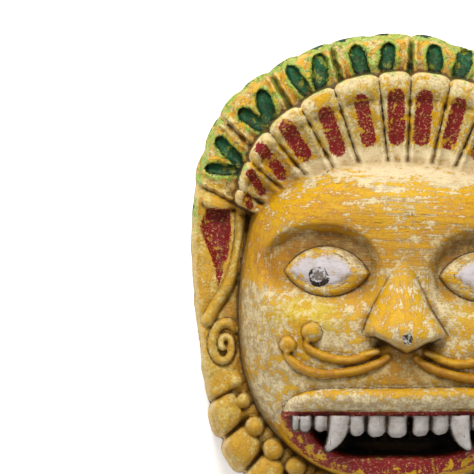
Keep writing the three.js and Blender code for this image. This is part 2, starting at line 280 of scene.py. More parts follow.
# %% Nose
nose_tip_z = 106.5


def nose_surface(x, y, z):
    share = np.clip((16 - y) / 40, 0, 1.1)
    middle = -1 + 3.5 * ease(-y, 5, 34)
    wide = 4.5 + 19.8 * share
    across = np.abs(x - middle) / wide
    ridge = 88 + (nose_tip_z - 88) * np.clip((20 - y) / 40, 0, 1) ** 1.1
    ridge = ridge - 9 * ease(-y, 22, 36) ** 1.4
    body = z + (ridge - z) * np.clip(1 - across**2.1, 0, 1) ** 0.72
    body = body + 3.4 * bump(np.abs(x - middle) - 18.5, y + 18.5, 5.5, 6.5)
    body = body - 1.6 * bump(np.abs(x - middle) - 11.5, y + 22, 2.6, 7)
    bottom = np.minimum(-34.5 + 0.5 * np.abs(x - 2.5), -25.5)
    drop = np.maximum(ease(bottom - y, -4.0, 0.8), ease(y, 14, 24))
    body = body * (1 - drop) + (z - 4) * drop
    body = np.where(across < 1, body, z - 4 - 12 * (across - 1))
    z = higher(z, body, 1.2)
    crease = np.exp(-(((across - 1.02) * wide / 0.9) ** 2)) * ease(14 - y, 0, 8) * (1 - ease(-y, 22, 27))
    z = z - 1.1 * crease
    z = z - 6.5 * bump(np.abs(x - 1.5) - 13.5, y + 28.6, 4.2, 2.2)
    chip = np.hypot(x - 2.6, y + 25.2) + 0.7 * wobble(x, y, 4, 11)
    return z - 1.0 * (1 - ease(chip, 1.7, 3.2))


# %% [markdown]
# The moustache is two strands a side. Each is a round bar that follows a curve and ends in a ball,
# so the height over it is the height of a circle at the distance from the strand's middle.

# %% Moustache
strands = [
    (curve_through([(53.5, -28.5), (52.8, -31.5), (48.5, -34.6), (42, -36.8), (31.2, -38.2), (21.9, -36),
                    (13.6, -32.4)], 50), 2.25, (50.8, -23.2), 5.5),
    (curve_through([(64.5, -35.5), (62.5, -38.8), (58.4, -42.3), (51.7, -45.2), (44.1, -46.4), (33, -45.3),
                    (21.7, -42.9), (14.2, -39.8), (8, -35.8)], 60), 2.45, (64, -30.8), 4.6),
]


def moustache_surface(x, y, z):
    side = np.abs(x)
    for line, radius, ball, ball_radius in strands:
        far, share = along_line(side, y, line)
        thick = radius * (1 - 0.3 * (1 - ease(share, 0, 0.12)) - 0.2 * ease(share, 0.85, 1))
        z = z - 1.1 * np.exp(-(((far - thick - 0.7) / 1.1) ** 2))
        bar = z + 0.6 + 1.25 * np.sqrt(np.clip(thick**2 - far**2, 0, None))
        z = np.where(far < thick, bar, z)
        out = np.hypot(side - ball[0], y - ball[1]) + 0.25 * wobble(x, y, 7, 5)
        z = z - 0.8 * np.exp(-(((out - ball_radius - 0.5) / 0.9) ** 2))
        round_end = z + 0.6 + 1.1 * np.sqrt(np.clip(ball_radius**2 - out**2, 0, None))
        z = np.where(out < ball_radius, round_end, z)
    gap = bump(side - 15, y + 36.2, 8, 1.4)
    return z - 2.2 * gap


# %% [markdown]
# ## The mouth
#
# The mouth is a half moon that slants a little. Its upper lip is a thick roll, a thin red edge
# follows, and behind the teeth the wood is cut deep. The lower lip is a rim with a red inner slope.

# %% Mouth and lips
slant = math.tan(math.radians(2.2))
lip_half_width, lip_drop, lip_middle = 67.8, 39, -66
lip_squareness = 2.3
lip_roll_radius = 6.0
gum_line = -69
cavity_floor = 50
upper_lip = curve_through(
    [(-63.5, -68.5), (-58.5, -63), (-48, -60), (-34, -59.1), (0, -59), (34, -58.6), (48, -59.6),
     (58.5, -62.5), (63.5, -68)], 60)


def mouth_frame(x, y):
    return x, y - slant * x


def lip_inside(u, v):
    """Millimetres in from the outer edge of the lower lip, negative outside."""
    wide = np.abs(u / lip_half_width) ** lip_squareness
    tall = (np.clip(lip_middle - v, 0, None) / lip_drop) ** lip_squareness
    return (1 - (wide + tall) ** (1 / lip_squareness)) * lip_drop


def cavity_share(u, v):
    inside = lip_inside(u, v) - 4.2 * np.exp(-((u / 26) ** 2))
    return ease(inside, 8, 12.5) * ease(-v, -gum_line - 0.3, -gum_line + 2.0)


def mouth_surface(x, y, z):
    u, v = mouth_frame(x, y)
    inside = lip_inside(u, v)
    far, share = along_line(u, v, upper_lip)
    thick = lip_roll_radius * np.sqrt(np.clip(1 - np.abs(2 * share - 1) ** 9, 0.12, 1))
    z = z - 1.3 * np.exp(-(((far - thick - 0.6) / 1.2) ** 2)) * (v > -64)
    below = ease(-v, 66, 71)
    z = z + 3.4 * np.exp(-(((inside - 1.8) / 2.4) ** 2)) * below
    z = z - 1.2 * np.exp(-(((inside + 1.6) / 1.2) ** 2)) * below
    z = z - 6.5 * ease(inside, 3.5, 14) * below
    z = z - 2.2 * ease(-v, 64.8, 69) * ease(inside, 1, 4) * (1 - below)
    z = z + 1.8 * np.exp(-(((v + 67.2) / 1.7) ** 2)) * ease(inside, 0.5, 3)
    hole = cavity_share(u, v)
    z = z * (1 - hole) + cavity_floor * hole
    roll = z + 0.6 + 0.95 * np.sqrt(np.clip(thick**2 - far**2, 0, None))
    z = np.where(far < thick, roll, z)
    knob = np.clip(1 - (np.abs(np.abs(x) - 68.7) / 2.6) ** 2 - (np.abs(y + 68.1) / 4.2) ** 2, 0, 1)
    return z + 2.6 * np.sqrt(knob)


# %% Teeth
teeth = [
    (-57.8, 4.2, 7.4), (-52.3, 7.4, 8.2), (-43.6, 8.2, 8.6),
    (-23.4, 8.9, 11.0), (-12.7, 10.7, 11.5), (-1.0, 11.5, 11.9), (12.0, 10.0, 11.2), (23.0, 10.0, 10.5),
    (44.4, 8.2, 8.8), (52.6, 7.2, 8.4), (58.2, 4.4, 7.6),
]
fangs = [(-33.6, 12.0, -1), (34.0, 11.8, 1)]
fang_length = 20.5
fang_hook = 5.6


def teeth_height(u, v, dome):
    """How high the teeth stand, far below everything where there is none."""
    top = np.full(u.shape, -99.0)
    for middle, wide, drop in teeth:
        front = dome(middle)
        up = np.clip(v - (gum_line - drop), 0, drop + 4)
        across = np.abs(u - middle) / (wide / 2)
        foot = np.clip(1 - up / 5.0, 0, 1)
        q = across**2.2 + foot**2.2
        tooth = front - 5.2 + 5.6 * np.clip(1 - q, 0, 1) ** 0.5 - 1.0 * np.clip(1 - up / drop, 0, 1)
        inside = (q < 1) & (v > gum_line - drop) & (v < gum_line + 0.6)
        top = np.where(inside, np.maximum(top, tooth), top)
    for middle, wide, way in fangs:
        share = np.clip((gum_line + 1.5 - v) / fang_length, 0, 1)
        line = middle + way * fang_hook * share**3.2
        half = wide / 2 * np.sqrt(np.clip(1 - share**2.8, 0, 1))
        across = np.abs(u - line) / np.maximum(half, 0.01)
        fang = dome(middle) - 2.0 + 4.8 * np.sqrt(np.clip(1 - across**2.2, 0, 1)) * (1 - 0.35 * share)
        inside = (across < 1) & (v < gum_line + 0.8) & (v > gum_line + 1.5 - fang_length)
        top = np.where(inside, np.maximum(top, fang), top)
    return top


def tooth_dome(u):
    return 85.5 - 15 * (u / 66) ** 2


def teeth_surface(x, y, z):
    u, v = mouth_frame(x, y)
    return np.maximum(z, teeth_height(u, v, tooth_dome))


# %% [markdown]
# ## Crown
#
# The inner row is petals like fingernails, hollow faces with a raised edge under a thick rounded
# rim. The outer row is leaves, each between two ribs, with a pair of gouges that meet inwards.

# %% Petals and leaves


def petal_surface(angle, r, ragged):
    across, half = petals.places(angle)
    start = face_edge(angle) - 3
    end = petal_edge(angle) + 0.6 - 3.0 * np.abs(across) ** 5
    t = (r - start) / (end - start)
    edge = np.abs((1 - np.abs(across)) * half * r + 0.4 * ragged)
    z = 66 + 9 * ease(t, 0, 0.7) - 13 * (angle / petals_end) ** 2
    roll = 4.2 * np.sqrt(np.clip(1 - ((t - 0.86) / 0.19) ** 2, 0, 1)) * (1 - 0.5 * np.abs(across) ** 3)
    face = 3.0 * (1 - ease(t, 0.63, 0.8)) * (1 - 0.85 * np.exp(-(((edge - 2.4) / 1.8) ** 2)))
    groove = 3.2 * np.exp(-((edge / 0.8) ** 2))
    return z + roll - face - groove, t, edge


def leaf_surface(angle, r, ragged):
    across, half = leaves.places(angle)
    start = petal_edge(angle) - 4
    end = outline(angle)
    t = (r - start) / (end - start)
    edge = np.abs((1 - np.abs(across)) * half * r + 0.6 * ragged)
    z = 51 - 7 * t - 6 * (angle / leaves_end) ** 2
    rib = 2.6 * np.exp(-(((edge - 2.7) / 1.4) ** 2)) - 0.9 * np.exp(-(((edge - 5.2) / 0.9) ** 2))
    groove = 3.6 * np.exp(-((edge / 1.1) ** 2))
    return z + rib - groove, edge


gouges = [
    ((108, 84), (92, 68), 3.6), ((114, 66.5), (93, 66), 3.2),
    ((84, 112), (77, 91), 4.4), ((96, 100), (79, 89), 3.9),
    ((69.5, 126), (55.5, 108), 3.6), ((51.5, 133.5), (50.5, 111), 4.5),
    ((32, 139), (25.5, 118), 4.4), ((12.5, 141), (14.5, 121), 4.2),
]


def gouge_distance(x, y):
    """Millimetres outside the nearest gouge: a leaf-shaped cut, widest towards its outer end."""
    side = np.abs(x)
    distance = np.full(x.shape, 99.0)
    deep = np.zeros(x.shape)
    for outer, inner, wide in gouges:
        far, share = along_line(side, y, [outer, inner])
        half = wide * np.clip(1 - np.abs(2 * share**0.85 - 1) ** 3, 0, 1) ** 0.6
        half = half * (1 + 0.14 * wobble(x, y, 9, 63))
        distance = np.minimum(distance, far - half)
        deep = np.maximum(deep, np.sqrt(np.clip(1 - (far / np.maximum(half, 0.2)) ** 2, 0, 1)))
    return distance, deep


# %% [markdown]
# ## Ears
#
# Each ear is a long ledge with a sunk leaf, a ribbon that runs down beside it and a scroll below.
# Ribbon, rim and scroll are round bars along curves, like the moustache.

# %% Ears
ear_leaf = curve_through([(112.5, 45), (116, 33), (111, 20), (106.5, 8), (105, -6)], 24)
ear_inner = curve_through([(98.5, 45), (97, 33), (98, 20), (101, 8), (105, -6)], 24)
ear_ribbon = curve_through(
    [(95.5, 52), (93.2, 44), (92.6, 32), (93.6, 20), (96, 8), (100.5, -3), (105.5, -11), (109.5, -19)], 44)
ear_rim = curve_through(
    [(113, 54), (118, 47), (119, 34), (118.4, 18), (116.6, 0), (114.2, -16), (112.2, -30),
     (110.6, -44)], 40)


def spiral(middle, outer, inner, turns, begin, steps=80):
    t = np.linspace(0, 1, steps)
    turn = np.radians(begin) - 2 * np.pi * turns * t
    wide = outer[0] + (inner[0] - outer[0]) * t
    tall = outer[1] + (inner[1] - outer[1]) * t
    return np.stack([middle[0] + wide * np.cos(turn), middle[1] + tall * np.sin(turn)], axis=1)


scroll = spiral((99.5, -32.8), (8.6, 13.4), (1.2, 2.0), 1.5, 135)


def ear_leaf_distance(side, y):
    """Millimetres outside the sunk leaf of the ear."""
    outer = np.interp(y, ear_leaf[::-1, 1], ear_leaf[::-1, 0])
    inner = np.interp(y, ear_inner[::-1, 1], ear_inner[::-1, 0])
    beside = np.maximum(side - outer, inner - side)
    return np.maximum(beside, np.maximum(y - 45, -6 - y))


def ear_surface(side, y):
    z = 39.5 - 0.02 * (y - 10)
    z = z - 4.5 * ease(-ear_leaf_distance(side, y), 0, 5)
    far, share = along_line(side, y, ear_rim)
    z = np.maximum(z, 37 + 1.5 * np.sqrt(np.clip(2.9**2 - far**2, 0, None)) - 40 * (far > 2.9))
    far, share = along_line(side, y, ear_ribbon)
    thick = 2.6 + 1.0 * share
    z = z - 1.2 * np.exp(-(((far - thick - 0.5) / 1.1) ** 2))
    z = np.maximum(z, 39 + 1.4 * np.sqrt(np.clip(thick**2 - far**2, 0, None)) - 40 * (far > thick))
    knob = np.clip(1 - (np.abs(side - 104.5) / 10.5) ** 2.6 - (np.abs(y - 49.5) / 6.4) ** 2.6, 0, 1)
    z = np.where(knob > 0, np.maximum(z, 40 + 6.5 * np.sqrt(knob)), z)
    z = z - 3.5 * bump(side - 98.5, y + 8, 5.0, 8.5)
    far, share = along_line(side, y, scroll)
    thick = 2.9 * (1 - 0.35 * share)
    coil = 38.5 + 3.5 * share + 1.5 * np.sqrt(np.clip(thick**2 - far**2, 0, None))
    z = np.where(far < thick, np.maximum(z, coil), z - 2.2 * np.exp(-(((far - thick) / 1.3) ** 2)))
    block_line = -60.8 - 0.31 * (side - 96)
    block = np.clip(1 - (np.abs(side - 99) / 13) ** 4 - (np.abs(y + 54.5) / 8.5) ** 4, 0, 1)
    block = block * (y > block_line)
    z = np.where(block > 0, np.maximum(z, 36 + 5 * np.sqrt(block)), z)
    z = z - 3.0 * np.exp(-(((y - block_line) / 1.1) ** 2))
    knob_radius = 4.8
    knob = np.hypot(side - 92, y + 53)
    swell = 40.5 + np.sqrt(np.clip(knob_radius**2 - knob**2, 0, None))
    return np.where(knob < knob_radius, np.maximum(z, swell), z)


# %% Beard
knob_places = [(87.3, -63.4, 4.3), (80.6, -77.9, 5.5), (69.9, -90.2, 6.0), (56.7, -99.6, 6.0),
               (41.5, -107, 5.9), (25.5, -112, 5.9), (8.6, -114.5, 5.9)]


def beard_surface(x, y, angle, r):
    turned = np.sign(angle) * (math.pi - np.abs(angle))
    across, half = wedges.places(turned)
    start = face_edge(angle)
    end = outline(angle) + 1.5
    t = (r - start) / (end - start)
    edge = (1 - np.abs(across)) * half * r
    z = 39 - 3 * t + 3 * np.exp(-(((t - 0.12) / 0.2) ** 2))
    q = (np.abs(across) / 0.95) ** 3 + (np.abs(t - 0.66) / 0.38) ** 3
    z = z + 7.5 * np.sqrt(np.clip(1 - q, 0, 1))
    z = z - 4 * np.exp(-((edge / 1.4) ** 2)) * ease(t, 0.1, 0.4)
    side = np.abs(x)
    for knob_x, knob_y, radius in knob_places:
        away = np.hypot(side - knob_x, y - knob_y) + 0.3 * wobble(x, y, 8, 9)
        z = z - 1.8 * np.exp(-(((away - radius - 0.6) / 1.2) ** 2))
        swell = 41 + 1.15 * np.sqrt(np.clip(radius**2 - away**2, 0, None))
        z = np.where(away < radius, np.maximum(z, swell), z)
    return z


# %% [markdown]
# ## One block
#
# All zones meet here. The block starts as a ball with many rings: its upper rings are sent out over
# the front to the outline, a few go down the side, and the rest come back under the rim into the
# hollow behind the face, so that the shell is closed from the start.

# %% Front of the mask


def front_height(x, y):
    angle = np.arctan2(x, y)
    r = np.hypot(x, y)
    edge = face_edge(angle)
    side = np.abs(x)
    face = face_surface(x, y)
    face = nose_surface(x, y, face)
    face = eye_surface(x, y, face)
    face = moustache_surface(x, y, face)
    face = mouth_surface(x, y, face)
    face = teeth_surface(x, y, face)
    ragged = wobble(x, y, 7, 21)
    petal, t, groove = petal_surface(angle, r, ragged)
    leaf, rib = leaf_surface(angle, r, ragged)
    distance, deep = gouge_distance(x, y)
    leaf = leaf - 3.6 * deep + 1.6 * np.exp(-(((distance - 1.6) / 1.4) ** 2))
    ear = ear_surface(side, y)
    beard = beard_surface(x, y, angle, r)
    turn = np.abs(angle)
    beard_share = ease(turn, math.pi - beard_start - 0.012, math.pi - beard_start + 0.012)
    ear = ear * (1 - beard_share) + beard * beard_share
    leaf_share = 1 - ease(turn, leaves_end - 0.015, leaves_end + 0.02)
    around = ear * (1 - leaf_share) + leaf * leaf_share
    around = around - 2.5 * np.exp(-(((turn - leaves_end - 0.02) / 0.016) ** 2))
    around = around + 0.3 * wobble(x, y, 11, 31) + 0.15 * wobble(x, y, 5, 32)
    in_petals = (turn < petals_end) & (t < 1.0)
    drop = ease(t, 0.975, 1.0)
    petal = petal + 0.35 * wobble(x, y, 10, 33)
    around = np.where(in_petals, petal * (1 - drop) + around * drop, around)
    gap = 2.6 * np.exp(-(((r - edge) / 1.7) ** 2))
    inner = np.maximum(face, np.where(in_petals, petal, 0))
    z = np.where(r < edge, inner, around - gap * (turn > petals_end))
    rim = outline(angle) - r
    return z - 5.5 * (1 - ease(rim, 0.0, 5.0)) ** 2


def outer_edge(angle):
    """The outline with its carved scallops."""
    turn = np.abs(angle)
    across, half = leaves.places(angle)
    crown = 1.2 - 1.6 * np.abs(across) ** 9 - 1.0 * np.exp(-((across / 0.16) ** 2))
    turned = np.sign(angle) * (math.pi - turn)
    across, half = wedges.places(turned)
    beard = 2.6 - 5.2 * np.abs(across) ** 4
    scallop = np.where(turn < leaves_end, crown, np.where(turn > math.pi - beard_start, beard, 0))
    uneven = 0.5 * wobble(120 * np.sin(angle), 145 * np.cos(angle), 14, 41)
    return outline(angle) + scallop + uneven


# %% Shaping the block
finer = 8
spokes = 112
face_rings = 124
border_rings = 64
side_rings = 12
back_rings = 56
rings = face_rings + border_rings + side_rings + back_rings
hollow_wide, hollow_tall, hollow_deep = 86, 101, 69


def hollow_height(x, y):
    share = np.hypot(x / hollow_wide, y / hollow_tall)
    return hollow_deep * np.power(np.clip(1 - share**2.6, 0, 1), 0.6)


def points_of(mesh):
    place = np.empty(len(mesh.vertices) * 3)
    mesh.vertices.foreach_get("co", place)
    return place.reshape(-1, 3)


bpy.ops.object.select_all(action="DESELECT")
bpy.ops.mesh.primitive_uv_sphere_add(segments=spokes, ring_count=rings // finer, radius=1)
block = bpy.context.active_object
block.name = "carved_mask"
split = block.modifiers.new("finer", "SUBSURF")
split.subdivision_type = "SIMPLE"
split.levels = split.render_levels = int(math.log2(finer))
bpy.ops.object.modifier_apply(modifier=split.name)
place = points_of(block.data)
angle = np.arctan2(place[:, 0], place[:, 1])
ring = np.arccos(place[:, 2] / np.linalg.norm(place, axis=1)) / math.pi * rings
edge = face_edge(angle)
rim = outer_edge(angle)
on_face = np.clip(ring / face_rings, 0, 1)
on_border = np.clip((ring - face_rings) / border_rings, 0, 1)
on_side = np.clip((ring - face_rings - border_rings) / side_rings, 0, 1)
on_back = np.clip((ring - face_rings - border_rings - side_rings) / back_rings, 0, 1)
r = edge * on_face + (rim - edge) * on_border
r = r * (1 - on_back)
x, y = r * np.sin(angle), r * np.cos(angle)
z = front_height(x, y)
z = np.where(on_side > 0, z * (1 - on_side), z)
z = np.where(on_back > 0, hollow_height(x, y), z)
block.data.vertices.foreach_set("co", (np.stack([x, y, z], axis=1) * mm).ravel())
block.data.update()
print("block", len(place), "points; heights", round(float(z.min()), 1), "to", round(float(z.max()), 1))

# %% [markdown]
# The mouth opens into the hollow through a slot, which slopes down towards the chin. A rounded bar is
# laid through the floor of the mouth and taken away with a Boolean modifier, as a chisel would cut it.

# %% Mouth slot
slot_wide, slot_tall, slot_deep = 58, 4.8, 44
slot_top = (0, -84.4, 53)
slot_slope = math.radians(-20)
bpy.ops.object.select_all(action="DESELECT")
bpy.ops.mesh.primitive_cube_add(size=1, location=(0, 0, 0))
bar = bpy.context.active_object
bar.data.transform(Matrix.Diagonal((slot_wide * mm, slot_tall * mm, slot_deep * mm, 1)))
bar.data.transform(Matrix.Translation((0, 0, -slot_deep / 2 * mm)))
bar.data.transform(Matrix.Rotation(slot_slope, 4, "X"))
bar.data.transform(Matrix.Rotation(math.atan(slant), 4, "Z"))
bar.data.transform(Matrix.Translation(Vector(slot_top) * mm))
rounded = bar.modifiers.new("rounded", "BEVEL")
rounded.width = 2 * mm
rounded.segments = 3
bpy.ops.object.modifier_apply(modifier=rounded.name)
bpy.ops.object.select_all(action="DESELECT")
block.select_set(True)
bpy.context.view_layer.objects.active = block
cut = block.modifiers.new("slot", "BOOLEAN")
cut.operation = "DIFFERENCE"
cut.solver = "MANIFOLD"
cut.object = bar
bpy.ops.object.modifier_apply(modifier=cut.name)
bpy.data.objects.remove(bar)
print("after the slot", len(block.data.vertices), "points")

# %% [markdown]
# The rings leave long and narrow faces on the steep walls. A voxel remesh gives even ones, a little
# smoothing softens its steps, and a Decimate modifier keeps the finished piece light.

# %% Even mesh
remesh = block.modifiers.new("even", "REMESH")
remesh.mode = "VOXEL"
remesh.voxel_size = 0.85 * mm
bpy.ops.object.modifier_apply(modifier=remesh.name)
relax = block.modifiers.new("relax", "SMOOTH")
relax.factor = 0.5
relax.iterations = 1
bpy.ops.object.modifier_apply(modifier=relax.name)
print("even", len(block.data.polygons), "faces")
fewer = block.modifiers.new("fewer", "DECIMATE")
fewer.ratio = min(1, 190000 / (2 * len(block.data.polygons)))
bpy.ops.object.modifier_apply(modifier=fewer.name)
bpy.ops.object.shade_smooth()
print("kept", len(block.data.polygons), "faces")

# %% [markdown]
# ## Where each paint goes
#
# The painter worked from the carving, so the paint does too. Each point of the mesh gets numbers:
# its distance in millimetres from the red, green and white areas and from the drawn lines, how much
# gold paint covers it, and how deep in a crease it lies. The material turns them into worn edges,
# into grime with painted shade in the creases, and into painted shade under the brow and nose.

# %% Creases
grid_step = 0.7
grid_x, grid_y = np.meshgrid(np.arange(-133, 133, grid_step), np.arange(-160, 160, grid_step))
grid_angle = np.arctan2(grid_x, grid_y)
grid_z = front_height(grid_x, grid_y) * (np.hypot(grid_x, grid_y) < outer_edge(grid_angle))


def blurred(field, size):
    """The field smoothed over this many millimetres, by its frequencies."""
    rows, columns = field.shape
    up, across = np.meshgrid(
        np.fft.fftfreq(rows, grid_step), np.fft.rfftfreq(columns, grid_step), indexing="ij")
    soften = np.exp(-2 * (math.pi * size) ** 2 * (up**2 + across**2))
    return np.fft.irfft2(np.fft.rfft2(field) * soften, s=field.shape)


def at_points(field, x, y):
    column = np.clip((x - grid_x[0, 0]) / grid_step, 0, field.shape[1] - 2)
    row = np.clip((y - grid_y[0, 0]) / grid_step, 0, field.shape[0] - 2)
    i, j = row.astype(int), column.astype(int)
    a, b = row - i, column - j
    near = field[i, j] * (1 - b) + field[i, j + 1] * b
    above = field[i + 1, j] * (1 - b) + field[i + 1, j + 1] * b
    return near * (1 - a) + above * a


fine_crease = blurred(grid_z, 1.1) - grid_z
broad_crease = blurred(grid_z, 5.5) - blurred(grid_z, 1.2)
print("creases from", round(float(fine_crease.min()), 1), "to", round(float(fine_crease.max()), 1), "mm")

# %% Red and green areas
strokes = [
    ((89.5, 51), (88, 46), 2.0), ((88, 64.5), (82, 55), 2.7), ((83, 79), (70.5, 64.5), 3.3),
    ((69, 91), (58.5, 76.5), 4.3), ((47, 99), (39.5, 80), 4.4), ((27.5, 107), (22.5, 86), 4.2),
    ((8, 110), (7, 88), 4.8),
]


def red_distance(x, y):
    side = np.abs(x)
    distance = ear_leaf_distance(side, y) + 0.8
    for outer, inner, half in strokes:
        far, share = along_line(side, y, [outer, inner])
        distance = np.minimum(distance, far - half)
    u, v = mouth_frame(x, y)
    inside = lip_inside(u, v)
    lip_band = 1.8 * np.maximum(np.maximum(v + 65.9, -72 - v), 1.0 - inside)
    lower = np.maximum(np.maximum(1.6 - inside, inside - 15.5), v + 68.5)
    return np.minimum(distance, np.minimum(lip_band, lower))


def red_wear(x, y):
    """How far the red has flaked: a little in the mouth, more on the petals and most on the ears."""
    u, v = mouth_frame(x, y)
    in_mouth = (lip_inside(u, v) > 0) & (v < -60)
    on_ear = ease(np.abs(x), 92, 96) * ease(56 - y, 0, 4)
    low_lip = ease(-v, 69, 72) * (1 - ease(lip_inside(u, v), 4, 9))
    on_crown = 0.03 + 0.05 * wobble(x, y, 40, 66) + 0.06 * on_ear * ease(24 - y, 0, 20)
    return np.where(in_mouth, -0.02 + 0.12 * low_lip, on_crown)


def petal_line(x, y, angle, r):
    """Millimetres from the dark crack between two petals."""
    across, half = petals.places(angle)
    edge = (1 - np.abs(across)) * half * r + 0.35 * wobble(x, y, 5, 62)
    inner = face_edge(angle) + 1 - r
    outer = r - petal_edge(angle) + 1
    return np.maximum(np.maximum(edge - 0.3, np.maximum(inner, outer)), (np.abs(angle) - petals_end) * r)


def green_distance(x, y, angle, r):
    distance, deep = gouge_distance(x, y)
    across, half = leaves.places(angle)
    rib = (1 - np.abs(across)) * half * r - 0.6
    outside = petal_edge(angle) + 1.5 - r
    far_round = np.degrees(np.abs(angle)) - 40
    rib = np.maximum(rib + 0.6 + 1.8 * wobble(x, y, 20, 51), far_round)
    brim = np.maximum(outline(angle) + 1.0 - r + 2.6 * wobble(x, y, 15, 52), far_round - 30)
    return np.maximum(np.minimum(np.minimum(distance - 0.4, rib), brim), outside)


def lime_distance(x, y, angle, r):
    """Light green lies round the dark green, and here and there along the outer edge of the crown."""
    edge = outline(angle) - 2.6 - r + 1.6 * wobble(x, y, 16, 64)
    edge = np.maximum(edge, (np.degrees(np.abs(angle)) - 74) * 1.5)
    return np.minimum(green_distance(x, y, angle, r) - 1.8, edge)


# %% Drawn lines and cracks
# Cracks and scratches that show from a step away
cracks = [
    [(-46, -55), (-45.6, -60), (-46.3, -65)], [(-10, -55.5), (-10.4, -60), (-10.2, -65)],
    [(-49.5, 64), (-46, 65.5), (-44, 68), (-40, 69.5)], [(2.5, 48), (3.2, 42), (2.8, 33)],
    [(-22, -3), (-18.5, -8), (-16.5, -10)], [(46, -56), (45.4, -63)],
]


def crack_distance(x, y):
    distance = np.full(x.shape, 9.0)
    for points in cracks:
        far, share = along_line(x, y, points)
        distance = np.minimum(distance, far - 0.3 * (1 - share**2))
    return distance + 0.25 * wobble(x, y, 5, 61)


def line_distance(x, y):
    side = np.abs(x)
    outer = np.abs(almond(side, y, *lid) - 0.3) - 0.3
    inner = np.abs(almond(side, y, *white) - 1.4) - 0.35 + 1.4 * ease(side, 38, 50) * ease(y, -4, 6)
    turn = np.arctan2(y - pupil_middle[1], side - pupil_middle[0])
    ring_half = 0.45 + 0.95 * ease(-np.sin(turn + 0.35), -0.3, 0.9)
    ring_half = ring_half + 0.5 * ease(np.sin(turn * 2 + 0.8), 0.6, 1)
    pupil = np.abs(np.hypot(side - pupil_middle[0], y - pupil_middle[1]) - pupil_radius) - ring_half
    return np.minimum(outer, inner), pupil


# %% Cover of gold paint


def gold_cover(x, y, angle, r):
    side = np.abs(x)
    u, v = mouth_frame(x, y)
    cover = 0.46 + 0.3 * bump(side - 46, y - 47, 34, 15) + 0.3 * bump(side - 80, y - 24, 13, 28)
    cover = cover + 0.06 * bump(x - 5, y - 40, 20, 12) - 0.26 * ease(y, 54, 70)
    cover = cover - 0.22 * ease(side, 66, 84) * ease(12 - y, 0, 20)
    cover = cover + 0.2 * bump(side - 82, y + 45, 6, 14)
    cover = cover + 0.16 * bump(x + 4, y + 8, 18, 24) - 0.1 * bump(x - 14, y + 4, 8, 16)
    cover = cover - 0.16 * bump(side - 36, y + 52, 40, 8)
    cover = cover - 0.25 * bump(side - 47, y - 26, 26, 7)
    for line, radius, ball, ball_radius in strands:
        far, share = along_line(side, y, line)
        out = np.hypot(side - ball[0], y - ball[1])
        cover = cover + 0.55 * (1 - ease(far, radius - 0.6, radius + 0.8))
        cover = np.where(out < ball_radius + 0.6, 0.62, cover)
    far, share = along_line(u, v, upper_lip)
    on_lip = 1 - ease(far, lip_roll_radius - 0.5, lip_roll_radius + 0.5)
    cover = cover * (1 - on_lip) + (0.22 + 0.36 * ease(v, -60, -55)) * on_lip
    inside = lip_inside(u, v)
    rim = ease(inside, -1.5, 0.5) * (1 - ease(inside, 3.5, 6)) * (v < -68)
    cover = cover + 0.5 * rim
    border = ease(r - face_edge(angle), -1, 1)
    turn = np.abs(angle)
    in_petals = (turn < petals_end) & (r < petal_edge(angle) + 1)
    around = np.where(in_petals, 0.44, np.where(turn < leaves_end, 0.52, np.where(turn < 2.11, 0.52, 0.56)))
    return cover * (1 - border) + around * border


def teeth_side(u, v):
    """0 in the middle of a tooth or fang and 1 at its side, for the painted shade between them."""
    nearest = np.ones(u.shape)
    for middle, wide, drop in teeth:
        nearest = np.minimum(nearest, np.abs(u - middle) / (wide / 2))
    for middle, wide, way in fangs:
        share = np.clip((gum_line + 1.5 - v) / fang_length, 0, 1)
        half = wide / 2 * np.sqrt(np.clip(1 - share**2.8, 0.02, 1))
        nearest = np.minimum(nearest, np.abs(u - middle - way * fang_hook * share**3.2) / half)
    return nearest


# %% Numbers on the points
place = points_of(block.data) / mm
x, y, z = place.T
angle = np.arctan2(x, y)
r = np.hypot(x, y)
side = np.abs(x)
u, v = mouth_frame(x, y)
inside = lip_inside(u, v)
on_wall = ease(front_height(x, y) - z, 0.4, 2.4) * (r > outline(angle) - 8) * (z > 0.5)
in_hollow = np.hypot(x / hollow_wide, y / hollow_tall) < 1
behind = np.where(in_hollow, z < hollow_height(x, y) + 2.5, z < 1.0).astype(float)
near_tooth = np.full(u.shape, -99.0)
for across, along in ((0, 0), (1.1, 0), (-1.1, 0), (0, 1.1)):
    near_tooth = np.maximum(near_tooth, teeth_height(u + across, v + along, tooth_dome))
on_tooth = (z > cavity_floor + 4) & (z < near_tooth + 1.5) & (v < gum_line + 0.8)
lid_lines, pupil = line_distance(x, y)
lid_lines = np.minimum(lid_lines, crack_distance(x, y))
lid_lines = np.minimum(lid_lines, petal_line(x, y, angle, r))
iris = np.hypot(side - pupil_middle[0], y - pupil_middle[1]) - 3.2
chip = np.hypot(x - 2.6, y + 25.2) - 3.0 + 0.7 * wobble(x, y, 4, 11)
scratched = bump(x - 2, y - 43, 24, 7) + 0.7 * bump(x + 40, y - 62, 26, 7)
beyond = ease(r - face_edge(angle), -2, 1)
in_petals = (np.abs(angle) < petals_end) & (r < petal_edge(angle) + 1)
ochre = beyond * np.where(in_petals, 0.2, np.where(np.abs(angle) < leaves_end, 0.4, 0.66))
# Painted shade: the eye sockets under the brow, the root of the nose, the places under the nose and the
# moustache, and the steep edges of the cheeks are darkened. The middle of the face gets an even darker
# tone.
socket = bump(side - 47, y - 22, 34, 16) * (1 - beyond) * (almond(side, y, *lid) > 0)
painted_shade = 0.95 * socket + 0.55 * bump(x, y + 42, 20, 12) + 0.35 * bump(side - 30, y + 47, 40, 9)
on_cheek_edge = ease(side, 92, 98) * (np.abs(y + 20) < 25) * (r < face_edge(angle))
painted_shade = painted_shade + 0.3 * bump(x, y - 22, 14, 8) + 0.4 * on_cheek_edge
on_nose = bump(x, y + 8, 22, 26)
on_temple = ease(side, 44, 58) * ease(y, 22, 34)
over_face = (1 - beyond) * (1 - on_nose) * ease(y, -54, -46) * (1 - ease(y, 50, 58)) * (1 - on_temple)
painted_shade = painted_shade + 0.24 * over_face
